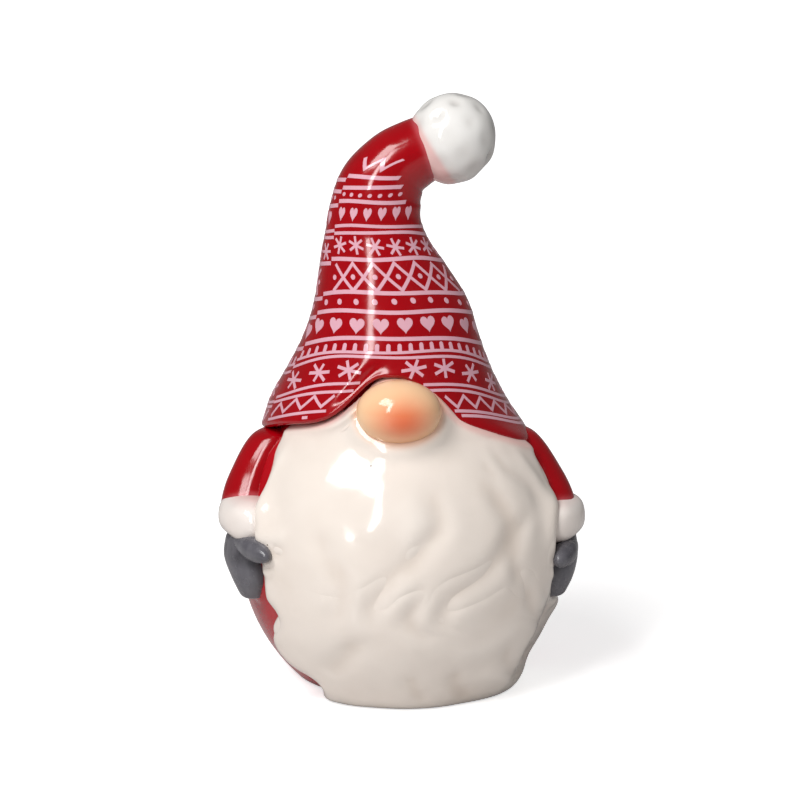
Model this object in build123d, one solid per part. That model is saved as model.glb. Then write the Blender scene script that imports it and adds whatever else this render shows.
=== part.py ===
"""Tomte gnome figurine in glazed earthenware.

The figure is cast hollow in liquid clay and put together while the clay is leather hard: the round
body, the beard, the hat, the bobble, the nose and the arms are separate clay pieces whose edges are
cut to their neighbours and luted on with slip.  Two printed transfers wrap the hat.

Frame: millimetres, +Z up, the figure faces -Y, and the origin is the middle of the room it takes up
on the shelf.  The pieces are built round the body's own upright axis and moved there at the end.
An azimuth is measured round the body's axis from the front, positive towards the figure's left (+X).
"""

import os
from math import cos, degrees, radians, sin, sqrt

from build123d import *

# ---------------------------------------------------------------- driving dimensions, millimetres
# Body: a barrel-shaped shell with a flat foot below and a neck that carries the hat above.
body_radius = 49.0
belly_height = 40.0
foot_radius = 31.3
shoulder_radius = 35.2
shoulder_height = 80.0
neck_radius = 19.0
neck_rise = 23.0
body_wall = 4.0
base_thickness = 5.0
foot_ring_width = 6.0
foot_recess = 1.2
drain_hole_radius = 5.0

# Beard: a thick front shell over the body, thinner where it goes in under the hat.
beard_thickness = 4.5
beard_neck_thickness = 2.3  # from the shoulder up
beard_foot_thickness = 6.2
beard_hem_height = 1.0
beard_sides = (-60.0, 60.0)  # azimuths of its two upright edges
beard_low_side = 80.0  # one low lock sweeps on round the body, under the left mitten
beard_low_height = 23.0

# The brim's edge: level behind, rising to the front, arched over the nose.
brim_drop = 3.0  # below the shoulder
brim_wall = 4.4  # clay outside the body at the brim's edge
brim_front_rise = 6.0
brim_arch_rise = 21.5
brim_side_half_width = 42.0
brim_front_half_width = 22.0
brim_arch_half_width = 9.0
brim_arch_rounding = 5.0

# Hat: a cone whose axis leans to the figure's right, then an elbow that bends it to its left.
# Its points are (x, height above the brim's edge).
hat_base = (-1.9, -7.0)
hat_waist = (-7.1, 74.0)
elbow_centre = (-5.8, 73.6)
tip_centre = (8.0, 83.0)
hat_wall = 3.5
hat_base_flare = 3.6  # how much wider the cone is at its base than at the brim's edge
crown_clay = 9.1  # clay outside the body's neck
upper_radius = 18.6
waist_radius = 12.6
crown_share = 0.4  # where along the straight axis the crown and the upper radius are
upper_share = 0.72
elbow_radius = 14.4
elbow_shrink = 0.8  # how far inside the elbow's ball the bent end begins
tip_radius = 10.2
tip_vent_radius = 2.0

# Bobble at the tip.
bobble_radius = 13.3
bobble_wall = 4.5
bobble_bite = 3.4  # how deep the hat's tip stands in the bobble

# Nose: a ball drawn out from side to side.
nose_half_width = 12.6
nose_radius = 9.4
nose_drop = 7.5  # its centre, below the brim's arch
nose_proud = 0.5  # its centre, outside the beard

# Arms, the same on both sides.
sleeve_radius = 9.5
sleeve_sunk = 2.0  # its centre line, inside the body's surface
sleeve_top_drop = 1.0  # below the brim's edge
arm_beside_beard = 9.4  # round the body, from the beard's edge to the arm's middle
sleeve_top_behind = 7.7  # round the body, from the arm's middle to the sleeve's upper end
cuff_height = 52.0
cuff_radius = 11.0
cuff_length = 13.5
cuff_edge = 5.5
cuff_sunk = 2.0
wrist_rise = 6.0  # the sleeve's lower end, above the cuff's middle
mitten_radius = 8.0
mitten_sunk = 1.5
mitten_drop = 5.0  # its upper end, below the cuff's middle
mitten_length = 11.5
thumb_radius = 4.2
thumb_drop = 3.5  # below the mitten's upper end
thumb_ahead = 9.4  # round the body, from the arm's middle to the thumb
thumb_proud = 5.5

# Printed transfers, one for the hat's front and one for its back.
transfer_thickness = 0.25
transfer_margin = 2.0  # bare glaze between a transfer and the brim
front_seams = (-57.0, 100.0)
back_seams = (100.0, 303.0)

# Heights that follow.
neck_height = shoulder_height + neck_rise
brim_height = shoulder_height - brim_drop
FAR = 200.0  # larger than the whole figure, for cutting tools


# ---------------------------------------------------------------- small helpers
def at(azimuth, reach, height):
    """The point at an azimuth, a reach from the figure's axis and a height."""
    return Vector(reach * sin(radians(azimuth)), -reach * cos(radians(azimuth)), height)


def turned(*outline):
    """A solid of revolution about +Z from (radius, height) corners joined by straight lines."""
    return revolve(Plane.XZ * make_face(Polyline(*outline, close=True)), Axis.Z)


def rod(start, end, first_radius, last_radius):
    """A round bar or cone between two points."""
    way = end - start
    middle = Plane(origin=start + way / 2, z_dir=way.normalized())
    if first_radius == last_radius:
        return middle * Cylinder(first_radius, way.length)
    return middle * Cone(first_radius, last_radius, way.length)


def capsule(start, end, radius):
    """A round bar with ball ends."""
    ends = Pos(*start) * Sphere(radius) + Pos(*end) * Sphere(radius)
    return rod(start, end, radius, radius) + ends


def biggest(shape):
    """The largest solid of a shape, dropping slivers that trimming leaves."""
    return max(shape.solids(), key=lambda solid: solid.volume)


# ---------------------------------------------------------------- the body's surface
def side_arcs(belly, foot, shoulder):
    """Radii of the two arcs, below and above the belly, that meet the foot and the shoulder."""
    rises = (belly_height, shoulder_height - belly_height)
    drops = (belly - foot, belly - shoulder)
    return [(rise**2 + drop**2) / (2 * drop) for rise, drop in zip(rises, drops)]


body_arcs = side_arcs(body_radius, foot_radius, shoulder_radius)
cavity_arcs = [arc - body_wall for arc in body_arcs]
beard_arcs = side_arcs(
    body_radius + beard_thickness,
    foot_radius + beard_foot_thickness,
    shoulder_radius + beard_neck_thickness,
)


def barrel_radius(height, grown=0.0, arcs=body_arcs):
    """Radius of a barrel's side at a height, its belly grown outwards."""
    arc = arcs[0] if height < belly_height else arcs[1]
    return body_radius + grown - arc + sqrt(arc**2 - (height - belly_height) ** 2)


def barrel(grown, neck_grown, low=0.0, arcs=body_arcs):
    """A barrel and its neck as one solid of revolution, standing at a height."""
    middles = (low + belly_height) / 2, (belly_height + shoulder_height) / 2
    heights = (low, middles[0], belly_height, middles[1], shoulder_height)
    points = [(barrel_radius(height, grown, arcs), height) for height in heights]
    side = ThreePointArc(*points[:3]) + ThreePointArc(*points[2:])
    foot, shoulder = points[0][0], points[-1][0]
    rest = Polyline(
        (shoulder, shoulder_height), (neck_radius + neck_grown, neck_height), (0, neck_height),
        (0, low), (foot, low),
    )
    return revolve(Plane.XZ * make_face(side + rest), Axis.Z)


# ---------------------------------------------------------------- the hat's surface
def hat_points():
    """The ends of the hat's straight axis, the elbow's centre and the tip's centre."""
    points = (hat_base, hat_waist, elbow_centre, tip_centre)
    return [Vector(x, 0, brim_height + rise) for x, rise in points]


def hat_profile(grown):
    """(radius, distance along the axis) of the hat's cone."""
    base, waist, _, _ = hat_points()
    length = (waist - base).length
    base_radius = barrel_radius(brim_height) + brim_wall + hat_base_flare
    radii = (base_radius, neck_radius + crown_clay, upper_radius, waist_radius)
    shares = (0, crown_share, upper_share, 1)
    return [(r + grown, share * length) for r, share in zip(radii, shares)]


def hat_axis():
    """The leaning plane that the hat's cone stands on."""
    base, waist, _, _ = hat_points()
    return Plane(origin=base, x_dir=(0, 1, 0), z_dir=(waist - base).normalized())


def hat_solid(grown, closed_tip=0.0):
    """Cone, elbow and tip as one solid; a closed tip stops short of the end by that much."""
    profile = hat_profile(grown)
    cone = hat_axis() * turned(*profile, (0, profile[-1][1]), (0, 0))
    _, _, elbow, tip = hat_points()
    end = tip - (tip - elbow).normalized() * closed_tip
    bent_end = rod(elbow, end, elbow_radius - elbow_shrink + grown, tip_radius + grown)
    return cone + Pos(*elbow) * Sphere(elbow_radius + grown) + bent_end


def below_brim(lift=0.0):
    """The space under the brim's edge, raised by a lift."""
    side = brim_height + lift
    front, arch = side + brim_front_rise, side + brim_arch_rise
    middle = hat_base[0]
    half = [(brim_side_half_width, side), (brim_front_half_width, front),
            (brim_arch_half_width, arch)]
    other = [(middle - x, z) for x, z in reversed(half)]
    half = [(middle + x, z) for x, z in half]
    wall = [(-FAR, side), (-FAR, -FAR), (FAR, -FAR), (FAR, side)]
    face = make_face(Polyline(*half, *other, *wall, close=True))
    bend = [v for v in face.vertices() if abs(v.X - middle) < brim_side_half_width - 1]
    face = fillet(bend, brim_arch_rounding)
    front_part = extrude(Plane.XZ * face, FAR)
    back_part = Pos(0, FAR / 2, side - FAR / 2) * Box(2 * FAR, FAR, FAR)
    return front_part + back_part


# ---------------------------------------------------------------- places round the body
def round_body(azimuth, distance):
    """The azimuth reached by going a distance round the belly from another azimuth."""
    return azimuth + degrees(distance / body_radius)


def arm_azimuth(side, behind=0.0):
    """Azimuth of an arm's middle, or of a place behind it, on the left (1) or right (-1)."""
    beard_edge = beard_sides[1] if side > 0 else -beard_sides[0]
    return side * round_body(beard_edge, arm_beside_beard + behind)


# ---------------------------------------------------------------- the pieces
def body_shell(body_outer):
    """Barrel and neck, hollow, open at the neck, with a foot ring and a drain hole."""
    cavity = barrel(-body_wall, -body_wall, base_thickness, cavity_arcs)
    recess_radius = barrel_radius(0) - foot_ring_width
    tall = Align.CENTER, Align.CENTER, Align.MIN
    recess = Cylinder(recess_radius, foot_recess, align=tall)
    drain = Cylinder(drain_hole_radius, FAR, align=tall)
    return body_outer - cavity - recess - drain


def hat_shell(hat_block, body_outer):
    """The bent cone, hollow above the neck, cut to the brim's line and seated on the body."""
    above_neck = Pos(0, 0, neck_height + FAR / 2) * Box(FAR, FAR, FAR)
    hollow = hat_solid(-hat_wall, hat_wall) & above_neck
    _, _, elbow, tip = hat_points()
    way = (tip - elbow).normalized()
    vent = rod(elbow, tip + way * elbow_radius, tip_vent_radius, tip_vent_radius)
    return hat_block - body_outer - hollow - vent


def sector(first, last, height):
    """Everything up to a height between two azimuths."""
    points = [at(azimuth, FAR, 0) for azimuth in (first, (first + last) / 2, last)]
    corners = [(point.X, point.Y) for point in points]
    return extrude(make_face(Polyline((0, 0), *corners, close=True)), height)


def beard_block():
    """The beard's outside and everything behind it, between its side edges."""
    outside = barrel(beard_thickness, beard_neck_thickness, beard_hem_height, beard_arcs)
    upright = sector(*beard_sides, FAR)
    low_lock = sector(0, beard_low_side, beard_low_height)
    return outside & (upright + low_lock)


def nose():
    """A long ball on its side, in front of the beard and under the brim's arch."""
    nose_height = brim_height + brim_arch_rise - nose_drop
    share = (nose_height - shoulder_height) / neck_rise
    shoulder = barrel_radius(shoulder_height, beard_thickness, beard_arcs)
    beard_there = shoulder + share * (neck_radius + beard_neck_thickness - shoulder)
    offset = nose_half_width - nose_radius
    ends = [
        Vector(hat_base[0] + x, -beard_there - nose_proud, nose_height) for x in (-offset, offset)
    ]
    return capsule(*ends, nose_radius)


def bobble():
    """A hollow ball on the hat's tip, vented into the hat."""
    _, _, elbow, tip = hat_points()
    way = (tip - elbow).normalized()
    centre = tip + way * (bobble_radius - bobble_bite)
    vent = rod(tip - way, centre, tip_vent_radius, tip_vent_radius)
    shape = Pos(*centre) * (Sphere(bobble_radius) - Sphere(bobble_radius - bobble_wall))
    return shape - rod(elbow, tip, elbow_radius - elbow_shrink, tip_radius) - vent


def sleeve(side):
    """A round bar down the body's side, from under the brim into the cuff."""
    top, low = brim_height - sleeve_top_drop, cuff_height + wrist_rise
    top_azimuth = arm_azimuth(side, sleeve_top_behind)
    shoulder = at(top_azimuth, barrel_radius(top) - sleeve_sunk, top)
    wrist = at(arm_azimuth(side), barrel_radius(low) - sleeve_sunk, low)
    under_brim = Pos(0, 0, brim_height - FAR / 2) * Box(FAR, FAR, FAR)
    return capsule(shoulder, wrist, sleeve_radius) & under_brim


def cuff(side):
    """A rounded fur roll round the wrist."""
    roll = Cylinder(cuff_radius, cuff_length)
    roll = fillet(roll.edges().filter_by(GeomType.CIRCLE), cuff_edge)
    reach = barrel_radius(cuff_height) - cuff_sunk
    return Pos(*at(arm_azimuth(side), reach, cuff_height)) * roll


def mitten(side):
    """A capsule hanging from the cuff against the body."""
    top = cuff_height - mitten_drop
    ends = [
        at(arm_azimuth(side), barrel_radius(height) - mitten_sunk, height)
        for height in (top, top - mitten_length)
    ]
    return capsule(*ends, mitten_radius)


def thumb(side):
    """A small ball beside the mitten, towards the front."""
    height = cuff_height - mitten_drop - thumb_drop
    reach = barrel_radius(height) + thumb_proud
    return Pos(*at(arm_azimuth(side, -thumb_ahead), reach, height)) * Sphere(thumb_radius)


def transfer(seams, hat_block):
    """A printed skin on the hat's cone between two seams."""
    inner = hat_profile(0)
    outer = hat_profile(transfer_thickness)
    face = Plane.XZ * make_face(Polyline(*inner, *reversed(outer), close=True))
    first, last = seams
    start = Rot(0, 0, first + 180) * face  # the hat's own X axis points to the figure's back
    skin = hat_axis() * revolve(start, Axis.Z, last - first)
    return skin - below_brim(transfer_margin) - hat_block


# ---------------------------------------------------------------- assembly
def make_parts():
    """Every piece, each trimmed to the ones it is luted to."""
    body_outer = barrel(0, 0)
    hat_block = hat_solid(0) - below_brim()
    front_block = beard_block()
    parts = {
        "body_shell": body_shell(body_outer),
        "hat_shell": hat_shell(hat_block, body_outer),
        "beard": front_block - body_outer - hat_block,
        "bobble": bobble(),
        "nose": nose() - front_block - body_outer - hat_block,
    }
    for name, side in (("left", 1), ("right", -1)):
        luted = []
        for piece, made in (("cuff", cuff(side)), ("sleeve", sleeve(side)),
                            ("mitten", mitten(side)), ("thumb", thumb(side))):
            whole = made
            for neighbour in (body_outer, front_block, hat_block, *luted):
                made = made - neighbour
            parts[f"{name}_{piece}"] = made
            luted.append(whole)
    parts["hat_transfer_front"] = transfer(front_seams, hat_block)
    parts["hat_transfer_back"] = transfer(back_seams, hat_block)
    return {node: biggest(shape) for node, shape in parts.items()}


os.makedirs("parts", exist_ok=True)
to_middle = Pos(0, beard_thickness / 2, 0)
for node, shape in make_parts().items():
    export_step(to_middle * shape, f"parts/{node}.step")
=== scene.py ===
# %% [markdown]
# # A glazed tomte figurine
# A tomte is the small bearded house spirit of the Nordic countries.  This one is slip cast: liquid
# clay is poured into plaster moulds, the thin shells are joined while still soft and fired, then
# dipped and brushed with coloured glaze, given a printed transfer on the hat and fired again.
# Its look follows from that: no sharp edge anywhere, colours that bleed a little into each other,
# and one unbroken glassy skin.  The CAD frame gives the sizes and the places; each clay piece is
# modelled here again with its soft shape.  Sizes are thought of in millimetres, as the potter does,
# and become metres when a piece is finished.

import math

import bmesh
import bpy
import numpy as np
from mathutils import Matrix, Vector


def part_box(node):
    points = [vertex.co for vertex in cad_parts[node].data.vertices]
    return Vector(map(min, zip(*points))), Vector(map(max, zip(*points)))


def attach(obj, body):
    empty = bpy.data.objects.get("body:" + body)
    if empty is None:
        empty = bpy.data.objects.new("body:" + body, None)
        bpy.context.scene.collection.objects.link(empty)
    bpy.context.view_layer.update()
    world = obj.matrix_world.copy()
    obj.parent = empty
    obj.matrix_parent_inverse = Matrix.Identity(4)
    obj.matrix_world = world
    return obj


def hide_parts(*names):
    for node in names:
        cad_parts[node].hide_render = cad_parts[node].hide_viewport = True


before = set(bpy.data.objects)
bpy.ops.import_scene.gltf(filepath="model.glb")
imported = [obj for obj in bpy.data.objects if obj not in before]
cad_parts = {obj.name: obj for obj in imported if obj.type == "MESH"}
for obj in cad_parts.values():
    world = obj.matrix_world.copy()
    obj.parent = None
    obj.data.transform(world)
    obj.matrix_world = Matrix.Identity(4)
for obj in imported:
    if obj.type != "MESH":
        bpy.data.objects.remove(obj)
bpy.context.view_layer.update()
body_low, body_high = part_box("body_shell")
MM = 0.001
AXIS_Y = (body_low[1] + body_high[1]) / 2 / MM
BODY_RADIUS = (body_high[0] - body_low[0]) / 2 / MM
NECK_HEIGHT = body_high[2] / MM
print("nodes in the frame:", len(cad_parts))
print("axis of the body at y =", round(AXIS_Y, 2), "mm, radius", round(BODY_RADIUS, 1), "mm")

# %% [markdown]
# ## Colours and a way to write materials
# Glaze colours are picked as sRGB hex values, the way a paint chart gives them, and turned to the
# linear values that a renderer mixes light with.  One small function adds a shader node with its
# settings and links, so that a material reads from top to bottom like a recipe.

# %% Colour and node helpers
def paint(code):
    """An sRGB hex colour as linear RGBA."""
    channels = [int(code[i : i + 2], 16) / 255 for i in (1, 3, 5)]
    linear = [c / 12.92 if c <= 0.04045 else ((c + 0.055) / 1.055) ** 2.4 for c in channels]
    return (*linear, 1.0)


def add(tree, kind, settings=None, stops=(), **inputs):
    """Adds a node.  An input is a value or another node's output socket; stops are a colour ramp's
    (position, hex colour or grey level) pairs."""
    made = tree.nodes.new("ShaderNode" + kind)
    for name, value in (settings or {}).items():
        setattr(made, name, value)
    for i, (position, colour) in enumerate(stops):
        elements = made.color_ramp.elements
        element = elements[i] if i < len(elements) else elements.new(position)
        element.position = position
        element.color = paint(colour) if isinstance(colour, str) else (colour,) * 3 + (1,)
    for name, value in inputs.items():
        label = name.replace("_", " ")
        socket = made.inputs[int(name[1:])] if name[1:].isdigit() else made.inputs[label]
        if isinstance(value, bpy.types.NodeSocket):
            tree.links.new(value, socket)
        else:
            socket.default_value = value
    return made


print("middle grey of a paint chart as linear light:", round(paint("#808080")[0], 3))

# %% [markdown]
# ## Glaze
# A fired glaze is a layer of glass over coloured clay.  Glass gives it an IOR near 1.5 and mirror
# like highlights; the layer pools in hollows, where its colour deepens, and thins on ridges, where
# the pale clay shows.  On the beard and the bobble that darker colour in the hollows is also
# painted
# shade.  It never dries perfectly flat: a very slow ripple, a few millimetres across, bends the
# highlights.  Gas that escaped in the kiln leaves a few pinholes.  All the glazes share this recipe
# and differ in colours, so one function makes them.

# %% Glaze materials
def glaze(name, thin, normal, deep_and_shaded, gloss=0.09, ripple_mm=9.0, ripple=0.3, pinholes=0.0,
          stains=(), brush_mm=0.0):
    """Glass over colour: thin, normal and the deepest are its hex colours by depth of glaze, and
    the deepest also serves as painted shade in the hollows of the beard and the bobble.  Stains are
    (attribute, hex colour) pairs painted over it, and brush_mm is the width of brush streaks."""
    material = bpy.data.materials.new(name)
    material.use_nodes = True
    tree = material.node_tree
    tree.nodes.clear()
    place = add(tree, "TexCoord").outputs["Object"]
    cloud = add(tree, "TexNoise", Vector=place, Scale=1 / (14 * MM), Detail=3.0).outputs["Fac"]
    # This attribute gives the depth of glaze; on the beard and the bobble it also carries painted
    # shade in the hollows.
    depth = add(tree, "Attribute", {"attribute_name": "pool_and_shade"}).outputs["Fac"]
    mixed = add(tree, "Math", {"operation": "MULTIPLY_ADD"}, _0=cloud, _1=0.35, _2=depth)
    colour = add(tree, "ValToRGB", stops=[(0.05, thin), (0.45, normal), (0.95, deep_and_shaded)],
                 Fac=mixed.outputs[0]).outputs[0]
    for attribute, tint in stains:
        amount = add(tree, "Attribute", {"attribute_name": attribute}).outputs["Fac"]
        colour = add(tree, "Mix", {"data_type": "RGBA"}, _0=amount, _6=colour,
                     _7=paint(tint)).outputs[2]
    if brush_mm:
        upright = add(tree, "Mapping", Vector=place, Scale=(1.0, 1.0, 0.35)).outputs[0]
        streak = add(tree, "TexNoise", Vector=upright, Scale=1 / (brush_mm * MM), Detail=4.0)
        strength = add(tree, "ValToRGB", stops=[(0.35, 0.0), (0.7, 0.55)],
                       Fac=streak.outputs["Fac"]).outputs[0]
        colour = add(tree, "Mix", {"data_type": "RGBA"}, _0=strength, _6=colour,
                     _7=paint(thin)).outputs[2]
    if pinholes:
        cells = add(tree, "TexVoronoi", Vector=place, Scale=1 / (7.5 * MM))
        near = add(tree, "Math", {"operation": "LESS_THAN"}, _0=cells.outputs["Distance"],
                   _1=pinholes)
        chosen = add(tree, "SeparateColor", Color=cells.outputs["Color"])
        rare = add(tree, "Math", {"operation": "GREATER_THAN"}, _0=chosen.outputs[0], _1=0.62)
        both = add(tree, "Math", {"operation": "MULTIPLY"}, _0=near.outputs[0],
                   _1=rare.outputs[0])
        colour = add(tree, "Mix", {"data_type": "RGBA"}, _0=both.outputs[0], _6=colour,
                     _7=paint("#6E5F55")).outputs[2]
    slow = add(tree, "TexNoise", Vector=place, Scale=1 / (ripple_mm * MM), Detail=1.0)
    bump = add(tree, "Bump", Strength=ripple, Distance=0.6 * MM, Height=slow.outputs["Fac"])
    haze = add(tree, "TexNoise", Vector=place, Scale=1 / (3 * MM), Detail=2.0).outputs["Fac"]
    rough = add(tree, "ValToRGB", stops=[(0.35, gloss), (0.7, gloss + 0.07)], Fac=haze).outputs[0]
    shader = add(tree, "BsdfPrincipled", Base_Color=colour, Roughness=rough, IOR=1.5,
                 Normal=bump.outputs[0])
    add(tree, "OutputMaterial", Surface=shader.outputs[0])
    return material


# Cadmium red under clear glass: dark where it pools, and pink where it bled into white.
red_glaze = glaze("red lead-free glaze", "#B20A18", "#9C000C", "#720005", gloss=0.11,
                  stains=[("bleed", "#C96A70")])
# Milky glaze over buff clay: warmer and darker in the grooves, partly where it pools and partly as
# painted shade, and stained by its red and peach neighbours.
cream_glaze = glaze("cream beard glaze", "#EFE6DD", "#E6DBD1", "#CBB9A9", pinholes=0.035,
                    stains=[("bleed", "#E3A49E"), ("peach", "#EFB189")])
# The same milky glaze laid thicker on the cuffs, and nearly opaque on the bobble, where the grey in
# its dents is partly pooled glaze and partly painted shade.
white_glaze = glaze("white fur-roll glaze", "#EFE8E3", "#E8DED7", "#CDBEB5", pinholes=0.03,
                    stains=[("bleed", "#E2A9A4")])
bobble_glaze = glaze("white bobble glaze", "#EDEBE8", "#DEDBD7", "#B5B0AB", pinholes=0.03,
                     stains=[("bleed", "#E2A9A4")])
# Peach glaze with an orange stain dabbed on the cheek of the nose.
peach_glaze = glaze("peach nose glaze", "#F6D6AE", "#F2C99E", "#E8B184",
                    stains=[("blush", "#E4602F")])
# A brushed oxide stain under thin glaze: streaky, and duller than the rest.
grey_glaze = glaze("grey mitten stain under thin glaze", "#747277", "#56545A", "#403E43",
                   gloss=0.22, brush_mm=3.0)
print("glazes:", [m.name for m in bpy.data.materials])

# %% [markdown]
# ## Making a clay piece
# Every piece starts from a plain bmesh shape and is pushed into place vertex by vertex, as clay is,
# by a function that is given all the points at once.  Numpy does this for tens of thousands of
# points without a wait.  Finishing a piece turns it to metres, hangs it on the CAD body, takes the
# CAD solid's place and gives it its glaze.

# %% Sculpting helpers
def points_of(bm):
    """All vertex positions as an array."""
    return np.array([v.co for v in bm.verts])


def sculpt(bm, move):
    """Moves every vertex: move takes and gives an array of positions."""
    for vertex, place in zip(bm.verts, move(points_of(bm))):
        vertex.co = place


def stain(bm, name, amounts):
    """Writes one number per vertex, which a material can read by name."""
    layer = bm.verts.layers.float.get(name) or bm.verts.layers.float.new(name)
    for vertex, amount in zip(bm.verts, amounts):
        vertex[layer] = float(amount)


def finish_piece(bm, name, node, material):
    """Millimetres round the body's axis become metres in the shared frame."""
    bmesh.ops.translate(bm, verts=bm.verts, vec=(0, AXIS_Y, 0))
    bmesh.ops.scale(bm, verts=bm.verts, vec=(MM, MM, MM))
    bmesh.ops.recalc_face_normals(bm, faces=bm.faces)
    for face in bm.faces:
        face.smooth = True
    mesh = bpy.data.meshes.new(name)
    bm.to_mesh(mesh)
    open_edges = sum(1 for edge in bm.edges if not edge.is_manifold)
    bm.free()
    mesh.set_sharp_from_angle(angle=math.radians(50))
    piece = bpy.data.objects.new(name, mesh)
    bpy.context.collection.objects.link(piece)
    mesh.materials.append(material)
    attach(piece, "root")
    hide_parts(node)
    print(f"{name}: {len(mesh.polygons)} faces, {open_edges} open edges")
    return piece


def smooth_step(low, high, value):
    """0 below low, 1 above high, an S between."""
    share = np.clip((value - low) / (high - low), 0, 1)
    return share * share * (3 - 2 * share)


def hump(value, width):
    """A soft bump, 1 at 0."""
    return np.exp(-((value / width) ** 2))


# %% [markdown]
# ## Soft joints
# Where two clay pieces are luted together the slip is smoothed with a wet brush and the glaze fills
# what is left, so the beard climbs gently onto the nose and the cuffs.  That fillet is an apron on
# the host surface: it rises towards the neighbour and dies away with the distance from it.  The
# neighbours are simple forms, an ellipsoid or a limb each, so their distance is one formula.

# %% Places of the small pieces
BELLY = 40.0  # height of the widest place
BRIM_BACK, FRONT_RISE, ARCH = 76.0, 9.5, 13.0


def towards_front(azimuth):
    """0 at the sides and behind, 1 at the front."""
    return smooth_step(-0.1, 1.0, np.cos(np.radians(azimuth)))


def brim_height(azimuth):
    """Height of the hat's lower edge: level behind, arched over the nose, low at the left."""
    turn = (azimuth + 180) % 360 - 180
    arch = ARCH * np.exp(-np.abs(turn / 25.5) ** 3)
    sag = 0.9 * hump(turn + 75, 25) - 4.2 * hump(turn - 66, 24)
    return BRIM_BACK + FRONT_RISE * towards_front(azimuth) + arch + sag


def round_reach(height, grown=0.0, low_arc=54.0, high_arc=65.0):
    """Radius of the body's barrel at a height: one arc below the belly, another above."""
    arc = np.where(height < BELLY, low_arc, high_arc)
    return BODY_RADIUS + grown - arc + np.sqrt(arc**2 - (height - BELLY) ** 2)


def beard_reach(height):
    """Radius of the beard's smooth outside, whose own arc brings it in under the hat."""
    return round_reach(height, 4.5, 58.0, 58.0)


def around(azimuth, reach, height):
    """The point at an azimuth in degrees, from the front towards +X."""
    turn = np.radians(azimuth)
    return np.stack([reach * np.sin(turn), -reach * np.cos(turn), height + 0 * turn], axis=-1)


def egg_distance(points, centre, radii, turn=0.0):
    """About how far points are outside an ellipsoid turned round Z by turn degrees."""
    angle = math.radians(turn)
    away = points - np.array(centre)
    along = away[:, 0] * math.cos(angle) + away[:, 1] * math.sin(angle)
    across = -away[:, 0] * math.sin(angle) + away[:, 1] * math.cos(angle)
    local = np.stack([along, across, away[:, 2]], axis=1)
    radii = np.array(radii)
    first = np.linalg.norm(local / radii, axis=1)
    second = np.linalg.norm(local / radii**2, axis=1) + 1e-9
    return first * (first - 1) / second


def limb_distance(points, start, end, first, last):
    """Distance outside a tapering round limb."""
    start, end = np.array(start), np.array(end)
    way = end - start
    share = np.clip((points - start) @ way / (way @ way), 0, 1)
    nearest = start + share[:, None] * way
    return np.linalg.norm(points - nearest, axis=1) - (first + share * (last - first))


NOSE = {"centre": (-1.2, -33.6, 89.6), "radii": (12.5, 10.6, 9.4)}
CUFF_RADII = (12.2, 8.4, 6.9)
SIDES = {"left": 1, "right": -1}
ARM = {}
for side_name, side in SIDES.items():
    slim = 1.8 if side > 0 else 0.0  # the left arm lies closer to the body, further back
    middle = side * (72.0 if side > 0 else 67.0)
    cuff_height, hand_rise = (52.2, 0.0) if side > 0 else (54.0, 1.3)
    thumb_turn, thumb_height = (60.0, 43.0) if side > 0 else (49.5, 47.2)
    ARM[side_name] = {
        "turn": middle,
        "shoulder": around(side * 82.0, round_reach(77.0) + 1.0 - 2.2 * slim, 76.0),
        "elbow": around(side * 78.0, round_reach(65.0) + 0.6 - 1.5 * slim, 65.0),
        "wrist": around(side * 74.0, round_reach(57.0) + 0.6 - slim, 57.0),
        "cuff": around(middle, round_reach(52.5) + 1.6 - 0.3 * slim, cuff_height),
        "palm": around(middle - side, round_reach(41.0) + 1.6 - 0.9 * slim,
                       41.5 + hand_rise),
        "fingers": around(middle - 3 * side, round_reach(34.5) + 1.2 - 0.5 * slim,
                          35.0 + hand_rise),
        "thumb_root": around(middle, round_reach(45.0) + 4.6, thumb_height + 1.0),
        "thumb": around(side * thumb_turn, round_reach(44.5) + 5.7, thumb_height),
    }
print("small pieces placed:", list(ARM["left"]))

# %% Fillets between a host surface and the pieces on it
def apron(points, neighbours):
    """How far a host surface climbs: the highest of the neighbours' (distance, height, width)."""
    lift = np.zeros(len(points))
    for distance, height, width in neighbours:
        lift = np.maximum(lift, height * hump(np.clip(distance(points), 0, None), width))
    return lift


def sleeve_distance(points, arm):
    return np.minimum(limb_distance(points, arm["shoulder"], arm["elbow"], 6.6, 7.8),
                      limb_distance(points, arm["elbow"], arm["wrist"], 7.8, 8.6))


def cuff_distance(points, arm):
    return egg_distance(points, arm["cuff"], CUFF_RADII, arm["turn"])


def mitten_distance(points, arm):
    return limb_distance(points, arm["palm"], arm["fingers"], 7.8, 6.4)


def thumb_distance(points, arm):
    return limb_distance(points, arm["thumb_root"], arm["thumb"], 3.0, 3.2)


def nose_distance(points):
    return egg_distance(points, NOSE["centre"], NOSE["radii"])


def arm_joints(*pieces):
    """(distance, height, width) of an apron for each listed piece on both arms."""
    return [(lambda p, d=distance, a=arm: d(p, a), height, width)
            for arm in ARM.values() for distance, height, width in pieces]


print("soft joints of the cuffs:", len(arm_joints((cuff_distance, 2.8, 4.2))))

# %% [markdown]
# ## The coat
# The body is a hollow casting: a barrel with a thin wall, a foot ring that is wiped clean of glaze,
# and a hole to drain the slip.  A profile spun round the axis makes it, as the potter's template
# makes the model for the mould.  It needs enough rings for the soft joints at the arms.

# %% Coat: spin a profile
WALL, BASE, FOOT, DRAIN, NECK = 4.0, 5.0, 6.0, 5.0, 19.0


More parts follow.
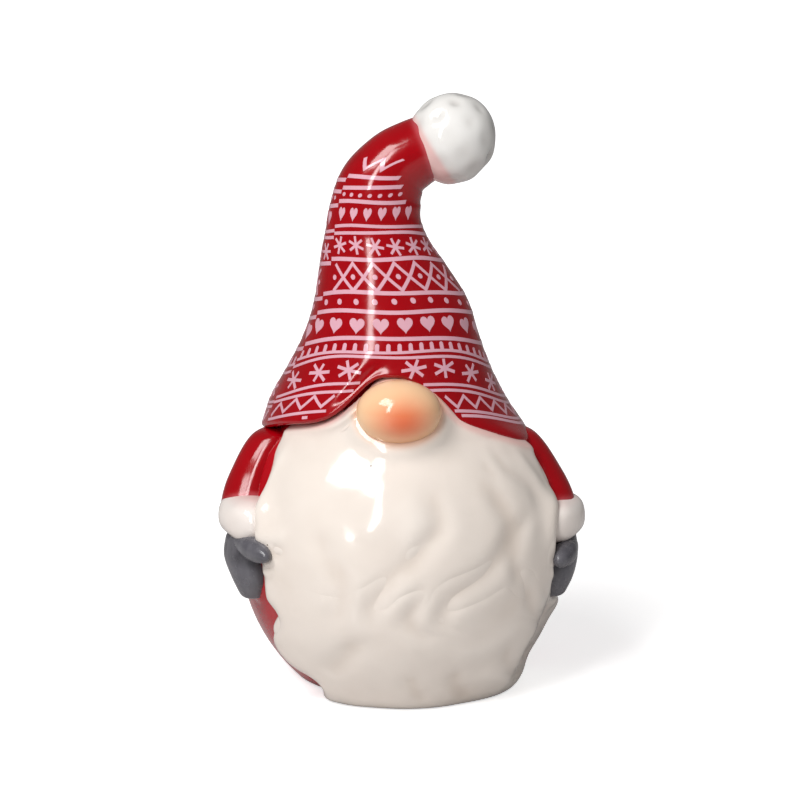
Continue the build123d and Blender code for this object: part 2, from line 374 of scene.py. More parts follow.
def coat_profile():
    """(radius, height) down the outside, under the foot and up the inside."""
    outside = [(NECK, NECK_HEIGHT)]
    outside += [(float(round_reach(z)), z) for z in np.linspace(80, 1.2, 90)]
    foot = float(round_reach(0.0))
    edge = [(foot - 0.5, 0.35), (foot - 1.2, 0.0)]
    under = [(foot - FOOT, 0.0), (foot - FOOT - 0.8, 1.2), (DRAIN + 1, 1.2), (DRAIN, 2.0),
             (DRAIN, BASE), (DRAIN + 6, BASE)]
    inside = [(float(round_reach(z, -WALL, 50.0, 61.0)), z) for z in np.linspace(BASE, 80, 24)]
    return outside + edge + under + inside + [(NECK - WALL, NECK_HEIGHT)]


def spun(profile, steps):
    """A closed ring of a profile turned once round the axis."""
    bm = bmesh.new()
    corners = [bm.verts.new((0, -radius, height)) for radius, height in profile]
    edges = [bm.edges.new(pair) for pair in zip(corners, corners[1:] + corners[:1])]
    bmesh.ops.spin(bm, geom=corners + edges, cent=(0, 0, 0), axis=(0, 0, 1),
                   angle=math.tau, steps=steps, use_merge=True)
    bmesh.ops.remove_doubles(bm, verts=bm.verts, dist=1e-5)
    return bm


def outward_of(points):
    """Level direction away from the axis."""
    level = points * (1, 1, 0)
    return level / (np.linalg.norm(level, axis=1)[:, None] + 1e-9)


def join_arms_to_coat(points):
    outer = np.linalg.norm(points[:, :2], axis=1) > round_reach(np.clip(points[:, 2], 0, 80)) - 1.5
    joints = arm_joints((sleeve_distance, 1.3, 1.8), (cuff_distance, 1.2, 1.6),
                        (mitten_distance, 1.2, 1.6))
    lift = apron(points, joints) * outer * smooth_step(77, 72, points[:, 2])
    return points + outward_of(points) * lift[:, None]


coat = spun(coat_profile(), 240)
sculpt(coat, join_arms_to_coat)
finish_piece(coat, "coat", "body_shell", red_glaze)

# %% [markdown]
# ## The beard
# Long hair hangs in wavy locks: each groove starts near the nose, swings out, swings back and curls
# at the floor.  The modeller draws those grooves with a loop tool in soft clay, so they are drawn
# here the same way, as strokes of a few points with a width and a depth.  The rest stays plump.
# A flat grid is bent onto the body; its edges sink into the coat, so the outline is where the two
# surfaces cross, as it is on the real figure.

# %% Strokes in the clay
# Each stroke: depth, width, and points of (azimuth in degrees, height), all in millimetres.
GROOVES = [
    (1.0, 3.0, [(8, 70), (11, 64), (12, 59), (7, 54), (1, 48), (-7, 42), (-11, 37), (-9, 31)]),
    (0.9, 2.4, [(6, 44), (2, 38), (3, 32), (8, 28)]),
    (1.1, 3.0, [(30, 72), (35, 64), (38, 58), (35, 51), (27, 45), (15, 40), (12, 34), (15, 29)]),
    (0.9, 2.6, [(46, 60), (41, 53), (38, 46), (41, 39)]),
    (0.8, 3.4, [(-32, 58), (-26, 51), (-21, 44), (-20, 38), (-24, 32)]),
    (0.8, 3.2, [(-15, 28), (-21, 21), (-28, 15)]),
    (0.9, 2.4, [(2, 17), (4, 11), (8, 6)]),
    (0.9, 2.6, [(18, 18), (20, 11), (27, 6)]),
    (0.7, 2.0, [(43, 42), (46, 33), (53, 27), (60, 24)]),
    (0.5, 0.9, [(51, 38), (56, 33)]),
    (0.7, 2.0, [(40, 77), (44, 72), (52, 66), (55, 60)]),
    (0.6, 2.2, [(33, 75), (38, 70)]),
    (0.8, 2.4, [(50, 20), (58, 15), (70, 12)]),
    (0.8, 2.2, [(36, 24), (40, 16), (50, 10), (66, 7)]),
    (0.7, 2.0, [(-58, 52), (-50, 48), (-42, 50)]),
]
RIDGES = [
    (0.9, 1.7, [(-58, 77), (-56, 71), (-58, 65), (-55, 59), (-60, 55)]),
    (0.8, 2.2, [(-64, 53), (-54, 51), (-46, 52), (-41, 55)]),
    (0.8, 1.5, [(52, 76), (56, 70), (59, 64), (61, 57)]),
    (0.6, 3.0, [(15, 22), (28, 23), (40, 30)]),
    (0.6, 3.0, [(28, 12), (38, 12), (46, 8)]),
    (0.5, 5.0, [(-12, 70), (-8, 62), (-14, 55)]),
    (0.5, 4.0, [(-2, 68), (2, 61), (-2, 55)]),
    (0.6, 4.0, [(-4, 46), (4, 40)]),
]


def on_sheet(azimuth, height):
    """Azimuth and height as millimetres on the unrolled body."""
    return np.stack([np.radians(azimuth) * 50.0, height + 0 * azimuth], axis=-1)


def smooth_line(corners, steps=6):
    """Points along a Catmull-Rom curve through the corners."""
    ends = [2 * corners[0] - corners[1], *corners, 2 * corners[-1] - corners[-2]]
    line = []
    for a, b, c, d in zip(ends, ends[1:], ends[2:], ends[3:]):
        for t in np.linspace(0, 1, steps, endpoint=False):
            line.append(0.5 * (2 * b + (c - a) * t + (2 * a - 5 * b + 4 * c - d) * t**2
                               + (3 * b - a - 3 * c + d) * t**3))
    return np.array(line + [corners[-1]])


def along_line(place, points):
    """Distance of each place from a smooth curve, and the share of the curve it is next to."""
    line = smooth_line([on_sheet(np.array(float(a)), float(z)) for a, z in points])
    best = np.full(len(place), 1e9)
    share = np.zeros(len(place))
    for i, (start, end) in enumerate(zip(line, line[1:])):
        way = end - start
        along = np.clip((place - start) @ way / (way @ way + 1e-9), 0, 1)
        away = np.linalg.norm(place - start - along[:, None] * way, axis=1)
        closer = away < best
        best = np.where(closer, away, best)
        share = np.where(closer, (i + along) / (len(line) - 1), share)
    return best, share


def stroke(place, points, depth, width):
    """Height of a stroke's cut at each place, fading out towards the stroke's ends."""
    best, share = along_line(place, points)
    fade = np.clip(np.sin(np.pi * np.clip(share, 0.02, 0.98)) * 2.2, 0, 1)
    return depth * fade * hump(best, width)


def relief(azimuth, height):
    """How far the beard's surface stands above its smooth form."""
    place = on_sheet(azimuth, height)
    total = np.zeros(len(place))
    for depth, width, points in GROOVES:
        total -= 1.6 * stroke(place, points, depth, width)
        total += 0.6 * stroke(place, points, depth, 2.4 * width)
    for depth, width, points in RIDGES:
        total += 1.5 * stroke(place, points, depth, width)
    wave = np.sin(np.radians(azimuth) * 9 + 1.3 * np.sin(height / 9.0))
    return total + 0.3 * wave * smooth_step(85, 60, height)


print(len(GROOVES), "grooves and", len(RIDGES), "ridges")

# %% Beard: soften the strokes with a wet sponge
BEARD_COLUMNS, BEARD_ROWS, SPONGE_PASSES = 230, 210, 22
BEARD_LOW, BEARD_RISE = 0.4, 99.0


def sponge(flat, values):
    """Averages values of the flat grid with their neighbours, pass after pass."""
    column = np.rint((flat[:, 0] + 0.5) * BEARD_COLUMNS).astype(int)
    row = np.rint((flat[:, 1] + 0.5) * BEARD_ROWS).astype(int)
    field = np.zeros((BEARD_ROWS + 1, BEARD_COLUMNS + 1))
    field[row, column] = values
    for _ in range(SPONGE_PASSES):
        for axis in (0, 1):
            ends = [(1, 1), (0, 0)] if axis == 0 else [(0, 0), (1, 1)]
            wide = np.pad(field, ends, mode="edge")
            low, high = (wide[:-2], wide[2:]) if axis == 0 else (wide[:, :-2], wide[:, 2:])
            field = field / 2 + (low + high) / 4
    return field[row, column]


reached = math.sqrt(SPONGE_PASSES / 2) * BEARD_RISE / BEARD_ROWS
print("the sponge softens over", round(reached, 1), "mm")

# %% Beard: bend a grid, cut the strokes, join it to its neighbours
# The beard's two side edges as (azimuth in degrees, height): scalloped where locks end.
RIGHT_EDGE = [(-45, -1), (-43, 3), (-39, 6), (-36.5, 8.5), (-39, 10.5), (-44, 12), (-49, 14.5),
              (-53, 19), (-53, 24), (-48, 30), (-53, 35), (-54, 44), (-56, 52), (-59, 59),
              (-62, 68), (-68, 77), (-68, 101)]
LEFT_EDGE = [(88, -1), (92, 5), (88, 10), (86, 14), (92, 19), (90, 25), (80, 29), (64, 33),
             (60, 44), (60, 52), (66, 58), (69, 64), (70, 77), (70, 101)]
TUCK = 3.6  # how far the beard goes in under the brim
TOP_REACH = 21.3  # the beard's radius at its hidden top, round the neck
EDGE_ROUND = 5.5  # width of the rounding along its side edges
BEARD_WALL = 3.0
FLOOR_GAP = 0.3  # the hem ends just above the floor
# Wide hollows above and below the low left lock: depth, width and route, as for the strokes.
THIN_LOCKS = [(4.2, 8.5, [(64, 28), (76, 22), (96, 17)]), (4.4, 7.5, [(58, 15), (76, 10), (96, 6)])]


def edge_azimuth(corners, height):
    """Azimuth of a side edge at each height."""
    line = smooth_line([np.array(corner, dtype=float) for corner in corners])
    return np.interp(height, line[:, 1], line[:, 0])


def bend_beard(points):
    height = BEARD_LOW + (points[:, 1] + 0.5) * BEARD_RISE
    near, far = edge_azimuth(RIGHT_EDGE, height), edge_azimuth(LEFT_EDGE, height)
    azimuth = near + (points[:, 0] + 0.5) * (far - near)
    place = on_sheet(azimuth, height)
    edge = np.minimum(along_line(place, RIGHT_EDGE)[0], along_line(place, LEFT_EDGE)[0])
    share = np.clip((height - 80) / (NECK_HEIGHT - 80), 0, 1)
    reach = beard_reach(np.clip(height, 0, 80)) * (1 - share) + TOP_REACH * share
    reach = reach - TUCK * smooth_step(-2.0, 2.5, height - brim_height(azimuth))
    for hollow, spread, route in THIN_LOCKS:
        reach = reach - hollow * hump(along_line(place, route)[0], spread)
    thickness = reach - round_reach(np.clip(height, 0, 80))
    rounding = 1 - np.sqrt(1 - np.clip(1 - edge / EDGE_ROUND, 0, 1) ** 2)
    sunk = np.where(height < 80, (thickness + 1.0) * rounding, 3 * rounding)
    hem_radius = 6.0 + 3.0 * smooth_step(-18, -38, azimuth)
    hem = hem_radius * (1 - np.sqrt(1 - np.clip(1 - height / (hem_radius + 1), 0, 1) ** 2))
    carved = sponge(points, relief(azimuth, height)) * (1 - rounding)
    under_brim = brim_height(azimuth) - height
    roll = 1.5 + 1.4 * hump(azimuth + 30, 14)
    carved = carved + roll * hump(np.clip(under_brim, 0, None), 2.6) * (under_brim > -2)
    bent = around(azimuth, reach - sunk - hem + carved, height)
    joints = arm_joints((sleeve_distance, 0.8, 1.5), (cuff_distance, 2.8, 4.2),
                        (mitten_distance, 0.9, 1.8), (thumb_distance, 0.7, 1.4))
    lift = apron(bent, [*joints, (nose_distance, 2.8, 4.2)])
    return bent + outward_of(bent) * lift[:, None]


beard = bmesh.new()
bmesh.ops.create_grid(beard, x_segments=BEARD_COLUMNS, y_segments=BEARD_ROWS, size=0.5)
sculpt(beard, bend_beard)
rim = points_of(beard)
print("beard reaches", round(float(-rim[:, 1].min()), 1), "mm in front of the axis")

# %% [markdown]
# Two colours travel in the kiln: the red of the brim bleeds pink into the white below it, and the
# nose's peach fades outwards.  Where the strokes are cut in, the glaze pools and looks warmer and
# darker, and that darkening in the grooves is partly painted shade.  All three are painted as
# numbers on the beard's points, for the glaze to read.

# %% The beard's stains and painted shade
def azimuth_of(points, centre_x=0.0):
    return np.degrees(np.arctan2(points[:, 0] - centre_x, -points[:, 1]))


below = brim_height(azimuth_of(rim, -2.4)) - rim[:, 2]
sheet_place = azimuth_of(rim)
stain(beard, "bleed", 0.5 * hump(np.clip(below - 0.6, 0, 99), 1.2)
      + 0.08 * hump(np.clip(below, 0, 99), 5.0))
stain(beard, "peach", 0.55 * hump(np.clip(nose_distance(rim), 0, 99), 1.6))
# The grooves get a darker glaze colour: partly pooled glaze, partly painted shade in the grooves.
stain(beard, "pool_and_shade", 0.26 - 0.13 * relief(sheet_place, rim[:, 2]))
bmesh.ops.solidify(beard, geom=beard.faces, thickness=BEARD_WALL)
sculpt(beard, lambda p: np.maximum(p, (-99, -99, FLOOR_GAP)))
finish_piece(beard, "beard", "beard", cream_glaze)

# %% [markdown]
# ## The hat
# A felt cone whose tip has fallen over: wide and slightly hollow-sided at the brim, drawn in at the
# waist, bent at the top.  A straight tube of rings is bent along a curved centre line; the lowest
# rings roll under to make the thick brim lip that stands proud of the beard.

# %% Centre line and radii
HAT_LINE = [(-2.2, 60), (-2.5, 76), (-3.6, 86), (-3.1, 96), (-2.6, 106), (-2.9, 116),
            (-5.0, 126), (-7.3, 136), (-7.4, 143), (-5.6, 150.4), (-1.2, 156.6), (3.8, 159.9),
            (8.4, 162.0), (13.0, 163.8)]
HAT_RADII = [50.0, 40.6, 35.7, 30.5, 26.1, 22.8, 18.9, 15.0, 13.7, 13.0, 11.4, 10.5, 9.9, 9.4]
line_steps = 12
spine = smooth_line([np.array(p, dtype=float) for p in HAT_LINE], line_steps)
girth = smooth_line([np.array([r]) for r in HAT_RADII], line_steps)[:, 0]
travel = np.concatenate([[0], np.cumsum(np.linalg.norm(np.diff(spine, axis=0), axis=1))])
travel = travel + HAT_LINE[0][1]
print("hat's centre line runs from", travel[0], "to", round(travel[-1], 1))


LIP = 1.7  # radius of the brim's rolled edge


def brim_flare(azimuth, run):
    """How far the hat's lowest part stands out: most over the beard at the left, in by the nose."""
    turn = (azimuth + 180) % 360 - 180
    size = 0.5 * hump(turn + 55, 16) - 1.8 * hump(turn + 20, 19) + 2.4 * hump(turn - 60, 22)
    return size * hump(np.clip(run - brim_height(azimuth) - LIP, 0, None), 3.5)


def hat_surface(azimuth, run, lift=0.0):
    """A point on the hat: run is the distance up its centre line, starting from the floor."""
    x = np.interp(run, travel, spine[:, 0])
    z = np.interp(run, travel, spine[:, 1])
    ahead_x = np.interp(run + 1.5, travel, spine[:, 0]) - np.interp(run - 1.5, travel, spine[:, 0])
    ahead_z = np.interp(run + 1.5, travel, spine[:, 1]) - np.interp(run - 1.5, travel, spine[:, 1])
    ahead_x = ahead_x * smooth_step(133, 146, run)  # rings stay level below the bend
    length = np.hypot(ahead_x, ahead_z)
    ahead_x, ahead_z = ahead_x / length, ahead_z / length
    turn = np.radians(azimuth)
    dents = 0.25 * np.sin(run / 11.0 + 2 * turn) + 0.18 * np.sin(run / 6.5 - 3 * turn + 1)
    reach = np.interp(run, travel, girth) + dents + brim_flare(azimuth, run) + lift
    side = reach * np.sin(turn)
    return np.stack([x + side * ahead_z, -reach * np.cos(turn), z - side * ahead_x], axis=-1)


# %% Hat: a tube of rings with a rolled lip
TURNS = 256
LIP_RINGS, UNDER_RINGS, RINGS = 9, 3, 190


def shape_hat(points):
    """Rings 0 to UNDER_RINGS run under the brim, the next roll round the lip, the rest go up."""
    azimuth = azimuth_of(points)
    ring = np.rint((points[:, 2] + 0.5) * RINGS)
    edge = brim_height(azimuth)
    roll = np.clip((ring - UNDER_RINGS) / LIP_RINGS, 0, 1) * math.pi / 2
    rise = np.clip((ring - UNDER_RINGS - LIP_RINGS) / (RINGS - UNDER_RINGS - LIP_RINGS), 0, 1)
    run = edge + LIP * (1 - np.cos(roll)) + rise * (travel[-1] - edge - LIP)
    tucked = -LIP * (1 - np.sin(roll)) - 2.2 * np.clip(UNDER_RINGS - ring, 0, None)
    return hat_surface(azimuth, run, tucked)


hat = bmesh.new()
bmesh.ops.create_cone(hat, segments=TURNS, radius1=1, radius2=1, depth=1, cap_ends=True)
upright = [e for e in hat.edges if abs(e.verts[0].co.z - e.verts[1].co.z) > 0.5]
bmesh.ops.subdivide_edges(hat, edges=upright, cuts=RINGS - 1, use_grid_fill=True)
sculpt(hat, shape_hat)
hat_points = points_of(hat)
bobble_centre = np.array((15.6, 0.0, 164.6))
to_bobble = np.linalg.norm(hat_points - bobble_centre, axis=1) - 13.0
stain(hat, "bleed", 0.5 * hump(np.clip(to_bobble, 0, 99), 0.9))
stain(hat, "pool_and_shade", 0.3 + 0 * to_bobble)
finish_piece(hat, "hat", "hat_shell", red_glaze)

# %% [markdown]
# ## The bobble and the nose
# Both are balls of clay pressed on.  The bobble stands for wool, so the modeller dented it all over
# with a fingertip, each dent a little different; the nose is pulled wider than tall.  An icosphere
# has no poles to pinch, so it takes dents evenly.

# %% Bobble
def dent(points, direction, angle, depth):
    """Pushes a unit ball in around a direction."""
    direction = np.array(direction) / np.linalg.norm(direction)
    away = np.degrees(np.arccos(np.clip(points @ direction, -1, 1)))
    return -depth * hump(away, angle)


def even_directions(count):
    """Directions spread evenly over a ball, along a spiral that turns by the golden angle."""
    golden = math.pi * (3 - math.sqrt(5))
    for i in range(count):
        height = 1 - 2 * (i + 0.5) / count
        level = math.sqrt(1 - height**2)
        yield level * math.cos(golden * i), level * math.sin(golden * i), height


FINGERTIPS = 40
DENTS = [(direction, 11 + 3 * math.sin(2.3 * i), 0.040 + 0.022 * math.sin(3.7 * i))
         for i, direction in enumerate(even_directions(FINGERTIPS))]
DENTS += [((1.0, -0.2, 0.0), 34, 0.06), ((0.75, -0.3, -0.75), 24, 0.05)]  # flat where it leant


def shape_bobble(points):
    push = 1.035 + sum(dent(points, *one) for one in DENTS)
    return points * push[:, None] * (13.1, 12.9, 13.3) + bobble_centre


bobble = bmesh.new()
bmesh.ops.create_icosphere(bobble, subdivisions=6, radius=1)
hollows = -sum(dent(points_of(bobble), *one) for one in DENTS)
sculpt(bobble, shape_bobble)
near_hat = points_of(bobble) - np.array((8.6, 0, 162.0))
along_tip = near_hat @ np.array((0.85, 0, 0.53))
stain(bobble, "bleed", 0.7 * hump(np.clip(along_tip - 0.6, 0, 99), 1.1))
# The dents get a greyer glaze colour: partly pooled glaze, partly painted shade in the dents.
stain(bobble, "pool_and_shade", 0.1 + 5.0 * hollows)
finish_piece(bobble, "bobble", "bobble", bobble_glaze)

# %% Nose
def shape_nose(points):
    droop = 1 + 0.05 * points[:, 2:3] * (0, 1, 0)
    return points * droop * NOSE["radii"] + NOSE["centre"]


nose = bmesh.new()
bmesh.ops.create_icosphere(nose, subdivisions=6, radius=1)
cheek = np.array((0.09, -0.99, -0.07))
blushing = hump(np.degrees(np.arccos(np.clip(points_of(nose) @ cheek, -1, 1))), 42)
sculpt(nose, shape_nose)
stain(nose, "blush", 0.9 * blushing)
stain(nose, "pool_and_shade", 0.25 + 0 * blushing)
finish_piece(nose, "nose", "nose", peach_glaze)

# %% [markdown]
# ## The arms
# Each arm lies flat against the body: a red sleeve that widens to the wrist, a fur cuff, and a
# mitten with its thumb towards the front.  They are limbs of changing thickness, so one ball is
# stretched along a curve with a radius that follows a few values.

# %% Sleeves, cuffs, mittens and thumbs
def limb(path, radii, flat=1.0, turn=0.0, subdivisions=5):
    """A ball stretched along a path; flat squeezes it towards the body."""
    bm = bmesh.new()
    bmesh.ops.create_icosphere(bm, subdivisions=subdivisions, radius=1)
    line = smooth_line([np.array(p) for p in path], 10)
    thick = smooth_line([np.array([r], dtype=float) for r in radii], 10)[:, 0]
    run = np.concatenate([[0], np.cumsum(np.linalg.norm(np.diff(line, axis=0), axis=1))])
    angle = math.radians(turn)
    out = np.array((math.sin(angle), -math.cos(angle), 0))

    def stretch(points):
        height = points[:, 2]
        where = (1 + height) / 2 * run[-1]
        middle = np.stack([np.interp(where, run, line[:, i]) for i in range(3)], axis=1)
        radius = np.interp(where, run, thick)
        across = np.linalg.norm(points[:, :2], axis=1)[:, None] + 1e-9
        level = points * (1, 1, 0) / across
        cap = np.clip(across[:, 0] / 0.55, 0, 1)
        cap = np.sqrt(1 - (1 - cap) ** 2)
        moved = level * (radius * cap)[:, None]
        squeeze = moved @ out
        return middle + moved - out * (squeeze * (1 - flat))[:, None]

    sculpt(bm, stretch)
    return bm


for side_name, side in SIDES.items():
    arm = ARM[side_name]
    turn = arm["turn"]
    top = arm["shoulder"] + np.array((0, 0, 2.5)) - around(side * 84.0, 7.0, 0.0)
    sleeve = limb([arm["wrist"] - np.array((0, 0, 6.0)), arm["wrist"], arm["elbow"],
                   arm["shoulder"], top], [8.4, 8.6, 7.8, 6.4, 3.0], 1.0, turn)
    stain(sleeve, "pool_and_shade", 0.3 + 0 * points_of(sleeve)[:, 0])
    to_cuff = cuff_distance(points_of(sleeve), arm)
    stain(sleeve, "bleed", 0.5 * hump(np.clip(to_cuff, 0, 99), 0.7))
    finish_piece(sleeve, f"{side_name}_sleeve", f"{side_name}_sleeve", red_glaze)

    cuff = bmesh.new()
    bmesh.ops.create_icosphere(cuff, subdivisions=5, radius=1)

    def shape_cuff(points, centre=arm["cuff"], angle=math.radians(turn)):
        lumps = 1 + 0.03 * np.sin(5 * points[:, 0] + 2) * np.cos(4 * points[:, 2])
        box = np.sign(points) * np.abs(points) ** 0.86
        local = box * lumps[:, None] * CUFF_RADII
        x = local[:, 0] * math.cos(angle) - local[:, 1] * math.sin(angle)
        y = local[:, 0] * math.sin(angle) + local[:, 1] * math.cos(angle)
        return np.stack([x, y, local[:, 2]], axis=1) + centre

    sculpt(cuff, shape_cuff)
    cuff_top = points_of(cuff)[:, 2] - arm["cuff"][2]
    stain(cuff, "pool_and_shade", 0.25 - 0.02 * cuff_top)
    stain(cuff, "bleed", 0.3 * smooth_step(4.0, 7.0, cuff_top))
    finish_piece(cuff, f"{side_name}_cuff", f"{side_name}_cuff", white_glaze)

    mitten = limb([arm["palm"] + np.array((0, 0, 7.0)), arm["palm"], arm["fingers"],
                   arm["fingers"] - np.array((0, 0, 6.4))], [7.0, 8.0, 7.0, 3.6], 0.85, turn)
    stain(mitten, "pool_and_shade", 0.25 + 0.6 * smooth_step(40, 44, points_of(mitten)[:, 2]))
    finish_piece(mitten, f"{side_name}_mitten", f"{side_name}_mitten", grey_glaze)

    thumb = bmesh.new()
    bmesh.ops.create_icosphere(thumb, subdivisions=5, radius=1)

    def shape_thumb(points, root=arm["thumb_root"], tip=arm["thumb"]):
        way = tip - root
        length = np.linalg.norm(way)
        along = points @ (way / length)
        thick = 3.9 - 0.7 * smooth_step(0.4, -0.6, along)  # the ball is fuller than the root
        return root + way / 2 + points * thick[:, None] + along[:, None] * way / 2

    sculpt(thumb, shape_thumb)
    stain(thumb, "pool_and_shade", 0.3 + 0 * points_of(thumb)[:, 0])
    finish_piece(thumb, f"{side_name}_thumb", f"{side_name}_thumb", grey_glaze)

# %% [markdown]
# ## The printed transfer
# The hat's folk pattern isn't painted by hand: it is screen printed in pale enamel on a film, slid
# onto the glazed hat wet, and fired on.  Two sheets meet at the figure's right side, where their
# rows do not quite line up.  Each motif is cut here as a thin closed chip that follows the hat's
# surface, a tenth of a millimetre proud, so its edge stays crisp at any distance.

# %% Motifs as flat outlines
CHIP = 0.1


def on_hat(azimuth, height, lift=CHIP):
    """The spot on the hat at an azimuth round its centre line and a height above the floor."""
    azimuth, height = np.broadcast_arrays(np.array(azimuth, float), np.array(height, float))
    run = height + 0.0
    for _ in range(30):
        run = run + 0.5 * (height - hat_surface(azimuth, run)[..., 2])
    return hat_surface(azimuth, run, lift)


def chip(bm, outline, azimuth, height):
    """Lays a small flat outline (millimetres across and up) on the hat."""
    reach = float(np.interp(height, travel, girth))
    outline = np.array(outline)
    flat = np.stack([azimuth + np.degrees(outline[:, 0] / reach), height + outline[:, 1]], axis=1)
    middle = flat.mean(axis=0)
    spots = on_hat(np.append(flat[:, 0], middle[0]), np.append(flat[:, 1], middle[1]))
    corners = [bm.verts.new(spot) for spot in spots]
    rim_corners, centre = corners[:-1], corners[-1]
    for one, two in zip(rim_corners, rim_corners[1:] + rim_corners[:1]):
        bm.faces.new((centre, one, two))


def band(bm, azimuths, heights, width, step=1.6):
    """A brush line of even width through (azimuth, height) corners, mitred and bent to the hat."""
    scale = math.radians(1) * float(np.interp(np.mean(heights), travel, girth))
    corners = np.stack([np.array(azimuths) * scale, heights], axis=1)
    ways = np.diff(corners, axis=0)
    lengths = np.linalg.norm(ways, axis=1)
    ways = ways / lengths[:, None]
    bends = np.vstack([ways[:1], ways[:-1] + ways[1:], ways[-1:]])
    bends = bends / np.linalg.norm(bends, axis=1)[:, None]
    mitre = 1 / np.clip(np.sum(bends * np.vstack([ways[:1], ways]), axis=1), 0.5, 1)
    side = np.stack([-bends[:, 1], bends[:, 0]], axis=1) * (mitre * width / 2)[:, None]
    low, high = [], []
    for i, length in enumerate(lengths):
        shares = np.arange(0, 1, 1 / max(1, math.ceil(length / step)))[:, None]
        spot = corners[i] + shares * (corners[i + 1] - corners[i])
        offset = side[i] + shares * (side[i + 1] - side[i])
        low.append(spot - offset)
        high.append(spot + offset)
    low = np.vstack([*low, corners[-1:] - side[-1:]])
    high = np.vstack([*high, corners[-1:] + side[-1:]])
    rails = [[bm.verts.new(spot) for spot in on_hat(rail[:, 0] / scale, rail[:, 1])]
             for rail in (low, high)]
    for a, b, c, d in zip(rails[0], rails[0][1:], rails[1][1:], rails[1]):
        bm.faces.new((a, b, c, d))


def disc(radius, count=14):
    return [(radius * math.cos(math.tau * i / count), radius * math.sin(math.tau * i / count))
            for i in range(count)]


def heart(width, height, count=26):
    """A heart from the usual sine curve, point down."""
    points = []
    for i in range(count):
        t = math.tau * i / count
        x = math.sin(t) ** 3
        y = (13 * math.cos(t) - 5 * math.cos(2 * t) - 2 * math.cos(3 * t) - math.cos(4 * t)) / 17
        points.append((x * width / 2, (y + 0.15) * height / 1.75))
    return points


def tooth(width, height, count=8):
    """A rounded tooth standing on the line below it."""
    top = [(width / 2 * math.cos(math.pi * i / count), height - width / 2
            + width / 2 * math.sin(math.pi * i / count)) for i in range(count + 1)]
    return [(-width / 2, 0), (width / 2, 0), *top]


print("corners of a dot, a heart and a tooth:", len(disc(1)), len(heart(1, 1)), len(tooth(1, 2)))

# %% Rows of the pattern
BARE = 1.9  # glaze left bare along the brim
BACK_DROP = 1.2  # the back sheet was slid on a little low
TOP_MARK_X = (-11.7, -9.2, -6.6, -4.0, -1.4)  # corners of the mark under the bend
# How much of the brim's rise towards the front each height of the pattern follows.
FOLLOWS = ((88, 1.05), (101, 1.2), (112, 0.6), (127, 0.4), (160, 0.1))


def row_height(azimuth, run):
    """Height of a row at an azimuth: a row is level at the front and droops to the sides."""
    share = np.interp(run, *zip(*FOLLOWS))
    waver = 0.2 * np.sin(np.radians(azimuth) * 3 + run)
    return run - FRONT_RISE * share * (1 - towards_front(azimuth)) + waver


def azimuth_at(x, run):
    """The azimuth on the hat's front where a row is at x."""
    azimuths = np.linspace(-80, 80, 81)
    return float(np.interp(x, on_hat(azimuths, run)[:, 0], azimuths))


def seam_at(run):
    """Azimuth of the slanting seam at the figure's right, at each row."""
    return float(np.interp(run, (100, 117, 132, 160), (-77, -68, -58, -56)))


def evenly(first, last, run, spacing):
    """Azimuths of motifs a given number of millimetres apart."""
    reach = max(float(np.interp(run, travel, girth)), 5.0)
    step = math.degrees(spacing / reach)
    return list(np.arange(first + 0.5 * step, last - 0.25 * step, step))


def stretches(azimuths, heights, margin):
    """Runs of neighbouring corners that clear the bare glaze left along the brim."""
    clear = heights > brim_height(azimuths) + margin
    runs, current = [], []
    for i, good in enumerate(clear):
        if good:
            current.append(i)
        if current and (not good or i == len(clear) - 1):
            if len(current) > 1:
                runs.append(current)
            current = []
    return runs


